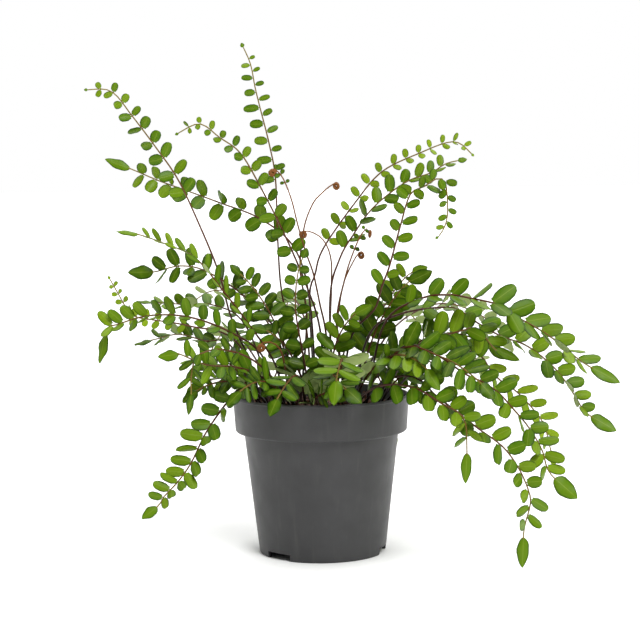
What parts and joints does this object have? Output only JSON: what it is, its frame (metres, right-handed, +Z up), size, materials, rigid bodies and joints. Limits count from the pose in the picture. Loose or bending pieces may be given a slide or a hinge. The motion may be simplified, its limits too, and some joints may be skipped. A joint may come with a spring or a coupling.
{
  "type": "potted button fern",
  "caption": "Bushy button fern with wiry arching fronds of small round leaflets, growing in potting soil in a tapered plastic nursery pot.",
  "frame": {"origin": "middle of the pot's underside, on the surface it stands on", "axes": "+Z up along the pot's axis, -Y towards the front of the plant, +X to its right"},
  "size_m": [0.345, 0.2581, 0.3452],
  "materials": {
    "pot": "moulded, fine satin grain",
    "soil": "loose moist peat mix",
    "rhizome": "scaly brown rootstock",
    "frond": "satin leaf, glossier above",
    "young_frond": "scaly curled shoot"
  },
  "bodies": {
    "root": {"crozier_back": "young_frond", "crozier_crumpled": "young_frond", "crozier_low_left": "young_frond", "crozier_middle": "young_frond", "crozier_right": "young_frond", "crozier_tall": "young_frond", "frond_arching_left": "frond", "frond_back_left_high": "frond", "frond_back_left_low": "frond", "frond_back_right": "frond", "frond_back_right_low": "frond", "frond_back_right_wide": "frond", "frond_back_tall": "frond", "frond_centre_low": "frond", "frond_centre_upright": "frond", "frond_front_centre": "frond", "frond_front_left": "frond", "frond_front_right": "frond", "frond_left_back": "frond", "frond_left_broad": "frond", "frond_left_front": "frond", "frond_left_hanging": "frond", "frond_left_high": "frond", "frond_left_long": "frond", "frond_left_middle": "frond", "frond_left_pale": "frond", "frond_left_young": "frond", "frond_low_left": "frond", "frond_low_outer_left": "frond", "frond_low_right": "frond", "frond_middle_front": "frond", "frond_middle_front_left": "frond", "frond_middle_high_left": "frond", "frond_middle_high_right": "frond", "frond_middle_left": "frond", "frond_middle_right": "frond", "frond_over_rim_back_left": "frond", "frond_over_rim_back_right": "frond", "frond_over_rim_left": "frond", "frond_over_rim_short": "frond", "frond_right_broad": "frond", "frond_right_front": "frond", "frond_right_hanging": "frond", "frond_right_high": "frond", "frond_right_inner": "frond", "frond_right_long": "frond", "frond_right_middle": "frond", "frond_right_nodding": "frond", "frond_right_outer_high": "frond", "frond_right_short": "frond", "frond_right_slender": "frond", "frond_right_trailing": "frond", "frond_rim_front": "frond", "frond_rim_right": "frond", "frond_tall_left": "frond", "frond_tallest": "frond", "nursery_pot": "pot", "potting_soil": "soil", "rhizome": "rhizome"}
  },
  "joints": []
}
